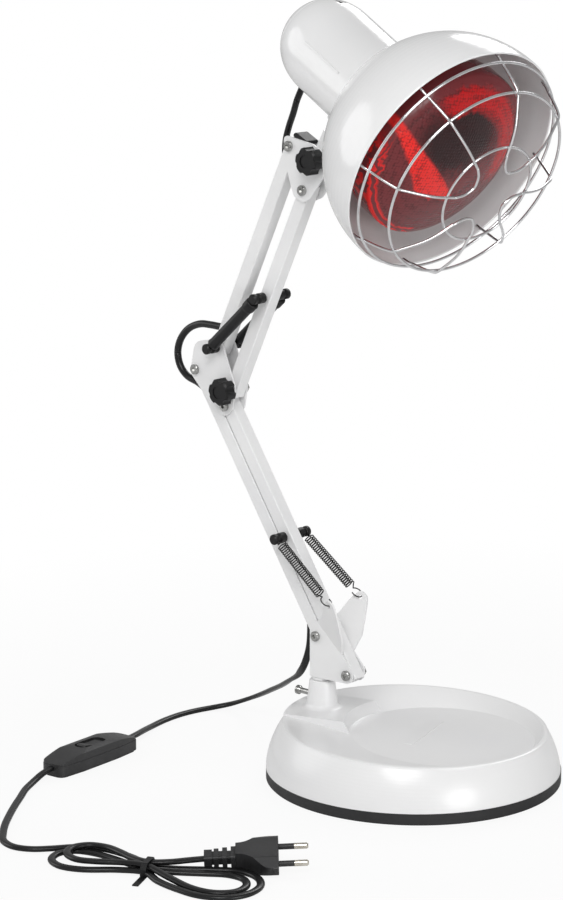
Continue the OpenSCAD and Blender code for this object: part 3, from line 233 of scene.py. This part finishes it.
# %% A helper for finishes
def finish(name, colour, tint, rough, skin=0.0, skin_scale=900, metal=0.0, coat=0.0, blotch=14,
           rough_span=0.06, stretch=(1, 1, 1), specular=0.5, skin_detail=3):
    material = bpy.data.materials.new(name)
    material.use_nodes = True
    tree = material.node_tree
    shader = tree.nodes["Principled BSDF"]
    shader.inputs["Metallic"].default_value = metal
    shader.inputs["Coat Weight"].default_value = coat
    shader.inputs["Coat Roughness"].default_value = 0.08
    shader.inputs["Specular IOR Level"].default_value = specular
    place = tree.nodes.new("ShaderNodeTexCoord")
    mapping = tree.nodes.new("ShaderNodeMapping")
    mapping.inputs["Scale"].default_value = stretch
    tree.links.new(place.outputs["Object"], mapping.inputs["Vector"])

    def noise(scale, detail):
        node = tree.nodes.new("ShaderNodeTexNoise")
        node.inputs["Scale"].default_value = scale
        node.inputs["Detail"].default_value = detail
        tree.links.new(mapping.outputs["Vector"], node.inputs["Vector"])
        return node

    ramp = tree.nodes.new("ShaderNodeValToRGB")
    ramp.color_ramp.elements[0].position = 0.35
    ramp.color_ramp.elements[0].color = (*tint, 1)
    ramp.color_ramp.elements[1].position = 0.65
    ramp.color_ramp.elements[1].color = (*colour, 1)
    tree.links.new(noise(blotch, 3).outputs["Fac"], ramp.inputs["Fac"])
    tree.links.new(ramp.outputs["Color"], shader.inputs["Base Color"])
    gloss = tree.nodes.new("ShaderNodeMapRange")
    gloss.inputs["From Min"].default_value = 0.3
    gloss.inputs["From Max"].default_value = 0.7
    gloss.inputs["To Min"].default_value = rough - rough_span / 2
    gloss.inputs["To Max"].default_value = rough + rough_span / 2
    tree.links.new(noise(blotch * 9, 4).outputs["Fac"], gloss.inputs["Value"])
    tree.links.new(gloss.outputs["Result"], shader.inputs["Roughness"])
    if skin:
        bump = tree.nodes.new("ShaderNodeBump")
        bump.inputs["Strength"].default_value = skin
        bump.inputs["Distance"].default_value = 0.0002
        tree.links.new(noise(skin_scale, skin_detail).outputs["Fac"], bump.inputs["Height"])
        tree.links.new(bump.outputs["Normal"], shader.inputs["Normal"])
    return material


# %% [markdown]
# The lamp is almost all white enamel over black plastic. The enamel on the head and the base is
# smooth and glossy, and that on the arm is a powder coat with a faint orange-peel skin.

# %% The lamp's finishes
enamel = finish("glossy_white_enamel", (0.83, 0.83, 0.83), (0.81, 0.81, 0.815), 0.2, 0.03, 200,
                coat=0.35, rough_span=0.04)
enamel_base = finish("white_enamel_on_the_base", (0.82, 0.82, 0.82), (0.805, 0.805, 0.81), 0.3,
                     coat=0.2, rough_span=0.05)
powder = finish("white_powder_coat", (0.82, 0.82, 0.82), (0.78, 0.78, 0.785), 0.32, 0.16, 700,
                coat=0.1, blotch=30)
rubber = finish("black_foot_rubber", (0.012, 0.012, 0.013), (0.02, 0.02, 0.021), 0.62, 0.25, 1500)
plastic = finish("black_moulded_plastic", (0.006, 0.006, 0.0065), (0.01, 0.01, 0.0105), 0.4, 0.2,
                 1800, blotch=60, specular=0.3)
switch_plastic = finish("black_grained_plastic", (0.016, 0.016, 0.017), (0.024, 0.024, 0.025), 0.42,
                        0.35, 2600, blotch=60)
lead_skin = finish("black_lead_sheath", (0.006, 0.006, 0.0065), (0.01, 0.01, 0.0105), 0.3, 0.12, 600,
                   blotch=80, specular=0.35)
spring_black = finish("blackened_spring_wire", (0.008, 0.008, 0.008), (0.016, 0.015, 0.014), 0.35,
                      0.15, 3000, blotch=120, specular=0.4)
zinc = finish("zinc_plated_steel", (0.5, 0.5, 0.49), (0.3, 0.3, 0.29), 0.22, 0.2, 2400, metal=1,
              blotch=240, rough_span=0.16)
chrome = finish("chromed_wire", (0.78, 0.78, 0.79), (0.68, 0.68, 0.69), 0.14, 0.05, 900, metal=1,
                blotch=90, rough_span=0.1)
nickel = finish("nickel_plated_brass", (0.72, 0.69, 0.62), (0.62, 0.58, 0.5), 0.22, 0.08, 1500, metal=1,
                blotch=150)
iron = finish("rough_cast_iron", (0.09, 0.09, 0.09), (0.05, 0.045, 0.04), 0.7, 0.8, 500, metal=0.6)
porcelain = finish("glazed_porcelain", (0.8, 0.77, 0.7), (0.74, 0.71, 0.63), 0.18, 0.06, 300, coat=0.4)
print("finishes:", len(bpy.data.materials))

# %% [markdown]
# Each solid whose shape is already right keeps its mesh and only takes its finish.

# %% Finishes of the solids
FINISH_OF = {
    enamel: ("shade", "socket_housing", "housing_cap", "head_stem"),
    enamel_base: ("base_cover",),
    powder: ("bracket_post", "bracket_plate_near", "bracket_plate_far", "lower_rear_tube",
             "lower_front_tube", "elbow_plate_near", "elbow_plate_far", "upper_rear_tube",
             "upper_front_tube", "head_plate_near", "head_plate_far"),
    rubber: ("foot_ring",),
    plastic: ("base_plate", "spring_spools", "elbow_spools", "sleeve_spools", "head_block",
              "elbow_knob", "head_knob", "cord_tie", "spring_sleeve_near", "spring_sleeve_far"),
    switch_plastic: ("switch_base", "switch_top", "switch_rocker", "plug_body"),
    lead_skin: ("cord_in_lower_arm", "cord_in_upper_arm"),
    zinc: ("base_screws", "thumb_screw", "bracket_bolts", "spring_pin", "elbow_bolts", "elbow_pin",
           "elbow_knob_bolt", "sleeve_pin", "head_bolts", "head_knob_bolt", "stem_nut"),
    chrome: ("guard_rings",),
    nickel: ("bulb_cap", "plug_pins"),
    iron: ("base_weight",),
    porcelain: ("lamp_holder",),
}
for material, names in FINISH_OF.items():
    for name in names:
        nodes[name].data.materials.clear()
        nodes[name].data.materials.append(material)

# %% [markdown]
# The leads take their sheath. A lead that crosses a joint is made in parts, and the lead on the
# table follows the base.

for piece, line in drop + table + elbow_loop + head_loop:
    piece.data.materials.append(lead_skin)


def bends(part):
    piece, line = part
    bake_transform(piece)


bends(drop[0])
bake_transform(drop[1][0])
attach(table[0][0], "base")
bends(elbow_loop[0])
bends(elbow_loop[1])
bends(head_loop[0])
bends(head_loop[1])
bends(head_loop[2])
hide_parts("cord_drop")
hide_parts("cord_floor", "cord_hank")
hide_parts("cord_elbow")
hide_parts("cord_head")

# %% [markdown]
# A coil spring is one wire: a loop round the pin's waist, the close turns, and a hook through
# the ear. The same sweep makes it, with a round section.

# %% Coil springs
WIRE, COIL_R, LOOP_R, HOOK_R = 0.9, 3.3, 2.9, 4.2
COIL_TURNS, STEPS_A_TURN = 27, 16
LOOP_TO_COIL, COIL_TO_EYE = 2.4, 11.5
WAIST_Y, EYE_Y = 14.0, 16.43
EYE = (20.8, 121.47)


def coil_wire(length):
    """The loop round the pin, the turns and the hook, in millimetres, with Z along the spring."""
    wire = [(LOOP_R * math.sin(a), 0.5, LOOP_R * math.cos(a))
            for a in [math.radians(120 + 12 * i) for i in range(28)]]
    start, stop = LOOP_R + LOOP_TO_COIL, length - COIL_TO_EYE
    steps = COIL_TURNS * STEPS_A_TURN
    for i in range(steps + 1):
        a = 2 * math.pi * i / STEPS_A_TURN
        wire.append((COIL_R * math.sin(a), COIL_R * math.cos(a), start + (stop - start) * i / steps))
    for i in range(17):
        a = math.radians(180 - 18 * i)
        wire.append((0, HOOK_R * math.sin(a), length - HOOK_R + HOOK_R * math.cos(a)))
    return wire


def spring(name, side):
    top = arm(*SPRING_PIN, side * WAIST_Y)
    foot = arm(*EYE, side * EYE_Y)
    along = (foot - top).normalized()
    across = Vector((0, side, 0))
    forward = across.cross(along).normalized()
    across = along.cross(forward)
    place = Matrix.Translation(top) @ Matrix((forward, across, along)).transposed().to_4x4()
    wire = [place @ (Vector(p) * MM) for p in coil_wire((foot - top).length / MM)]
    ups = [forward * 0.6 + across * 0.35 + along * 0.72] * len(wire)
    piece = swept(name, wire, WIRE * MM, WIRE * MM, ups, 8)
    print(name, "wire, mm:", round(measure(wire) * 1000))
    piece.data.materials.append(spring_black)
    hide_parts(name)
    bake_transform(piece)
    return piece


spring("spring_near", -1)
spring("spring_far", 1)

# %% [markdown]
# Turned pieces, such as sleeves, spools and the bulb, come from one drawn profile spun about its
# axis. The profile is a chain of points, and a full spin has to merge its last step with its
# first, or a seam is left.

# %% A helper for turned pieces
def turned(name, profile, place, steps=48, material=None, smooth_faces=True):
    """profile is a list of (radius, height) in millimetres; place turns millimetres into metres."""
    bm = bmesh.new()
    chain = [bm.verts.new((r, 0, z)) for r, z in profile]
    edges = [bm.edges.new(pair) for pair in zip(chain, chain[1:])]
    bmesh.ops.spin(bm, geom=chain + edges, cent=(0, 0, 0), axis=(0, 0, 1), angle=2 * math.pi,
                   steps=steps, use_merge=True)
    bmesh.ops.remove_doubles(bm, verts=bm.verts, dist=0.001)
    bmesh.ops.transform(bm, matrix=place, verts=bm.verts)
    return finished(bm, name, material, not smooth_faces)


def pointing(start, along, side=Vector((0, 1, 0))):
    """A place in millimetres whose Z runs along a direction."""
    z = along.normalized()
    x = side.cross(z).normalized()
    turn = Matrix((x, z.cross(x), z)).transposed().to_4x4()
    return Matrix.Translation(start) @ turn @ Matrix.Scale(MM, 4)


# %% [markdown]
# The upper springs hide in black sleeves. Each is a soft tube with a narrow neck at the elbow
# and a longer, wider cuff at the top.

# %% Spring sleeves
sleeve_run = (arm(*SLEEVE_PIN) - arm(*E4)).length / MM
for side, name in ((-1, "spring_sleeve_near"), (1, "spring_sleeve_far")):
    low, high = 3.8, sleeve_run - 3.8
    profile = [(0, low), (2.9, low), (3.8, low + 0.5), (4.3, low + 1.4), (4.3, low + 2.6),
               (4.1, low + 3.4), (4.05, low + 4), (4.0, (low + high) / 2), (4.05, high - 9),
               (4.1, high - 8), (4.6, high - 7), (4.75, high - 6), (4.75, high - 1), (4.4, high - 0.3),
               (3.4, high), (0, high)]
    start = arm(*E4, side * WAIST_Y)
    along = arm(*SLEEVE_PIN, side * WAIST_Y) - start
    piece = turned(name, profile, pointing(start, along), 40, plastic)
    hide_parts(name)
    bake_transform(piece)
print("sleeve, mm:", round(sleeve_run, 1))

# %% [markdown]
# Each petal of the guard is one bent wire: a tip inside the shade, a leg over the outer and the
# middle ring, a half turn inside the small ring, and the same way back.

# %% Guard petals
OPENING, GUARD_WIRE = 101, 1.8
STEP = math.radians(22.5)
FIRST_PETAL, PETAL_AIM = 21, 70


def leg(r, z):
    return (r * math.cos(STEP), r * math.sin(STEP), OPENING + z)


half_petal = [leg(79.2, -4), leg(78.4, 1), leg(76.6, 6), leg(74.2, 14), leg(71.2, 22), leg(68.6, 26.2),
              leg(63, 29.5), leg(51, 35.3), leg(42, 37.8), leg(35, 38.6), leg(29.5, 39.2)]
turn_back = [(27.5, 11.2, OPENING + 39.4), (23, 8, OPENING + 39.5), (20, 4, OPENING + 39.5)]
petal = (half_petal + turn_back + [(18.6, 0, OPENING + 39.5)]
         + [(x, -y, z) for x, y, z in (half_petal + turn_back)[::-1]])
for i in range(4):
    place = in_head @ Matrix.Rotation(math.radians(90 * i - FIRST_PETAL), 4, "Z")
    line = [place @ q for q in smooth(petal)]
    outward = [(place.to_3x3() @ Vector((p.x, p.y, PETAL_AIM))).normalized() for p in smooth(petal)]
    piece = swept(f"guard_petal_{i + 1}", line, GUARD_WIRE * MM, GUARD_WIRE * MM, outward, 12)
    piece.data.materials.append(chrome)
    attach(piece, "head")
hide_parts("guard_petals")
print("petal wire, mm:", round(measure(line) * 1000))

# %% [markdown]
# The bulb is pressed ruby glass with a silvered bowl behind it. The bowl's reflections are painted
# into the glass's colour: a painted dark middle of shade, a painted bright slanting streak where
# the bowl throws light back, and a painted bright crescent along the upper edge. The finish draws
# these in the head's own millimetres, which a Mapping node set to TEXTURE gives, and breaks them up
# with pebbles about two millimetres wide, whose seams are darkened as painted shade.

# %% Helpers for the bulb's painted reflections and painted shade
glass = bpy.data.materials.new("ruby_glass_painted_reflections")
glass.use_nodes = True
tree, shader = glass.node_tree, glass.node_tree.nodes["Principled BSDF"]


def wire_in(socket, value):
    if isinstance(value, (int, float)):
        socket.default_value = value
    else:
        tree.links.new(value, socket)


def math_node(operation, a, b=0.0):
    node = tree.nodes.new("ShaderNodeMath")
    node.operation = operation
    wire_in(node.inputs[0], a)
    wire_in(node.inputs[1], b)
    return node.outputs[0]


def step(value, zero_at, one_at, low=0.0, high=1.0):
    node = tree.nodes.new("ShaderNodeMapRange")
    node.interpolation_type = "SMOOTHSTEP"
    for socket, number in zip(node.inputs[1:5], (zero_at, one_at, low, high)):
        socket.default_value = number
    wire_in(node.inputs["Value"], value)
    return node.outputs["Result"]


def times(*factors):
    total = factors[0]
    for factor in factors[1:]:
        total = math_node("MULTIPLY", total, factor)
    return total


def tinted(under, colour, mask):
    node = tree.nodes.new("ShaderNodeMix")
    node.data_type = "RGBA"
    wire_in(node.inputs["Factor"], mask)
    if isinstance(under, tuple):
        node.inputs["A"].default_value = (*under, 1)
    else:
        tree.links.new(under, node.inputs["A"])
    node.inputs["B"].default_value = (*colour, 1)
    return node.outputs["Result"]


# %% The bulb's finish, with painted reflections and painted shade
STREAK_AT, BOWL_X, BOWL_Y, HALF_DIAGONAL = 22, 19, 5, 0.7071
# RUBY is the glass's own colour; the other colours are painted shade and painted reflections.
RUBY, PAINTED_SHADE_RED = (0.17, 0.022, 0.026), (0.02, 0.002, 0.003)
LIT_LOW, LIT_HIGH, LIT_EDGE = (0.5, 0.004, 0.006), (0.85, 0.02, 0.016), (0.8, 0.015, 0.014)
SEAM_SHADE_RED = (0.03, 0.002, 0.003)
place = tree.nodes.new("ShaderNodeTexCoord")
mapping = tree.nodes.new("ShaderNodeMapping")
mapping.vector_type = "TEXTURE"
mapping.inputs["Location"].default_value = in_head.translation
mapping.inputs["Rotation"].default_value = in_head.to_euler()
mapping.inputs["Scale"].default_value = (MM, MM, MM)
tree.links.new(place.outputs["Object"], mapping.inputs["Vector"])
ripple = tree.nodes.new("ShaderNodeTexNoise")
ripple.inputs["Scale"].default_value = 0.16
ripple.inputs["Detail"].default_value = 4
tree.links.new(mapping.outputs["Vector"], ripple.inputs["Vector"])
axes = tree.nodes.new("ShaderNodeSeparateXYZ")
tree.links.new(mapping.outputs["Vector"], axes.inputs["Vector"])
sway = math_node("MULTIPLY", math_node("SUBTRACT", ripple.outputs["Fac"], 0.5), 12)
x = math_node("ADD", axes.outputs["X"], sway)
y = math_node("ADD", axes.outputs["Y"], sway)
radius = math_node("SQRT", math_node("ADD", times(x, x), times(y, y)))
bearing = math_node("ARCTAN2", y, math_node("MULTIPLY", x, -1))
along = times(math_node("ADD", x, y), HALF_DIAGONAL)
side = times(math_node("SUBTRACT", y, x), HALF_DIAGONAL)

# Painted reflection: a bright slanting streak where the bowl throws light back.
off = math_node("ADD", side, STREAK_AT)
half_width = step(along, -60, 20, 3, 11)
painted_streak_reflection = times(step(math_node("SUBTRACT", math_node("ABSOLUTE", off), half_width), 1.6, -1.2),
               step(math_node("SUBTRACT", along, times(off, 1.1)), 18, 12), step(along, -63, -55))
# Painted highlight: a bright crescent along the upper edge of the face.
painted_crescent_highlight = times(step(radius, 34, 42), step(radius, 56, 50), step(bearing, -0.75, -0.4),
                 step(bearing, 2.05, 1.7))
# Painted highlights: thin bright streaks along part of the bulb's edge band.
edge = times(step(radius, 54, 57), step(math_node("SINE", times(radius, 1.6)), -0.2, 0.5),
             step(bearing, -1.2, -1.6))
# Painted shade: the dark middle where the bowl reflects shade.
bowl_x, bowl_y = math_node("ADD", x, BOWL_X), math_node("ADD", y, BOWL_Y)
middle = math_node("SQRT", math_node("ADD", times(bowl_x, bowl_x), times(bowl_y, bowl_y, 0.6)))
colour = tinted(RUBY, PAINTED_SHADE_RED, step(middle, 34, 16))
colour = tinted(colour, LIT_LOW, painted_crescent_highlight)
colour = tinted(colour, LIT_HIGH, painted_streak_reflection)
colour = tinted(colour, LIT_EDGE, edge)

pebbles = tree.nodes.new("ShaderNodeTexVoronoi")
pebbles.inputs["Scale"].default_value = 0.46
pebbles.inputs["Randomness"].default_value = 0.35
tree.links.new(mapping.outputs["Vector"], pebbles.inputs["Vector"])
on_face = times(step(radius, 57, 54), step(axes.outputs["Z"], 80, 84))
# Painted shade: the valleys between the pebbles are darkened.
seam = times(step(pebbles.outputs["Distance"], 0.45, 0.75), on_face, 0.6)
colour = tinted(colour, SEAM_SHADE_RED, seam)
tree.links.new(colour, shader.inputs["Base Color"])
shader.inputs["Roughness"].default_value = 0.16
shader.inputs["Specular IOR Level"].default_value = 0.3
shader.inputs["Coat Weight"].default_value = 0.12
shader.inputs["Coat Roughness"].default_value = 0.04
bump = tree.nodes.new("ShaderNodeBump")
bump.inputs["Strength"].default_value = 0.5
bump.inputs["Distance"].default_value = 0.0006
bump.invert = True
tree.links.new(times(pebbles.outputs["Distance"], on_face), bump.inputs["Height"])
tree.links.new(bump.outputs["Normal"], shader.inputs["Normal"])

# %% [markdown]
# The bulb itself is one closed shell: a low dome in front, a short straight edge, and the bowl that
# narrows behind it to the neck. It is spun from its profile, as the sleeves are.

# %% Bulb
FACE, BULB_R = 92, 61
face_line = [(BULB_R * math.sin(math.radians(a)), FACE + 14 * math.cos(math.radians(a)) ** 1.4)
             for a in (0, 8, 16, 24, 32, 40, 48, 56, 64, 70, 76)]
shell = face_line + [(60.4, FACE + 1), (61, FACE - 2), (61, FACE - 14), (59.5, FACE - 22),
                     (54, FACE - 34), (45, FACE - 47), (34, FACE - 58), (25, FACE - 64), (19, FACE - 68),
                     (16.5, FACE - 71), (13, FACE - 74), (0, FACE - 74)]
bulb = turned("bulb_glass", shell, in_head, 96, glass)
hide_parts("bulb_glass")
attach(bulb, "head")
print("bulb across, mm:", 2 * BULB_R)

# %% [markdown]
# The floor and backdrop are white to the camera, through Light Path, while the lamps stay at a
# plain level so that the white enamel keeps its greys. The floor holds back part of that white,
# and so keeps a soft shadow under the base and the lead.

# %% Floor, backdrop and light
floor_mat = bpy.data.materials.new("pale_floor")
floor_mat.use_nodes = True
tree = floor_mat.node_tree
shader = tree.nodes["Principled BSDF"]
shader.inputs["Base Color"].default_value = (0.8, 0.8, 0.8, 1)
shader.inputs["Roughness"].default_value = 0.6
glow = tree.nodes.new("ShaderNodeEmission")
glow.inputs["Color"].default_value = (1, 1, 1, 1)
path = tree.nodes.new("ShaderNodeLightPath")
share = tree.nodes.new("ShaderNodeMath")
share.operation = "MULTIPLY"
place = tree.nodes.new("ShaderNodeTexCoord")
far = tree.nodes.new("ShaderNodeVectorMath")
far.operation = "LENGTH"
fade = tree.nodes.new("ShaderNodeMapRange")
for socket, number in zip(fade.inputs[1:5], (0.3, 0.7, 0.9, 1.0)):
    socket.default_value = number
tree.links.new(place.outputs["Object"], far.inputs[0])
tree.links.new(far.outputs["Value"], fade.inputs["Value"])
tree.links.new(fade.outputs["Result"], share.inputs[1])
mix = tree.nodes.new("ShaderNodeMixShader")
tree.links.new(path.outputs["Is Camera Ray"], share.inputs[0])
tree.links.new(share.outputs[0], mix.inputs["Fac"])
tree.links.new(shader.outputs["BSDF"], mix.inputs[1])
tree.links.new(glow.outputs["Emission"], mix.inputs[2])
tree.links.new(mix.outputs["Shader"], tree.nodes["Material Output"].inputs["Surface"])
bm = bmesh.new()
bmesh.ops.create_grid(bm, x_segments=1, y_segments=1, size=6)
floor = finished(bm, "floor", floor_mat, True)

world = bpy.data.worlds.new("studio")
bpy.context.scene.world = world
world.use_nodes = True
tree = world.node_tree
sky = tree.nodes["Background"]
sky.inputs["Color"].default_value = (1, 1, 1, 1)
path = tree.nodes.new("ShaderNodeLightPath")
either = tree.nodes.new("ShaderNodeMath")
either.operation = "MAXIMUM"
level = tree.nodes.new("ShaderNodeMapRange")
level.inputs["To Min"].default_value = 0.42
level.inputs["To Max"].default_value = 1.0
tree.links.new(path.outputs["Is Camera Ray"], either.inputs[0])
tree.links.new(path.outputs["Is Transmission Ray"], either.inputs[1])
tree.links.new(either.outputs[0], level.inputs["Value"])
tree.links.new(level.outputs["Result"], sky.inputs["Strength"])


def soft_light(name, at, aim, size, watts):
    data = bpy.data.lights.new(name, "AREA")
    data.shape, data.size, data.energy = "DISK", size, watts
    lamp = bpy.data.objects.new(name, data)
    bpy.context.scene.collection.objects.link(lamp)
    lamp.location = at
    lamp.rotation_euler = (Vector(aim) - Vector(at)).to_track_quat("-Z", "Y").to_euler()


soft_light("key", (0.9, -1.6, 1.7), (-0.05, -0.03, 0.25), 1.2, 22)
soft_light("fill", (-1.7, -1.0, 0.9), (-0.05, -0.03, 0.25), 1.4, 9)
soft_light("rim", (-0.6, 1.6, 1.5), (-0.05, -0.03, 0.3), 1.0, 10)
soft_light("front", (1.5, -0.4, 0.25), (0.03, -0.03, 0.43), 0.7, 7)
bpy.context.scene.view_settings.view_transform = "Standard"
print("lights:", len(bpy.data.lights))
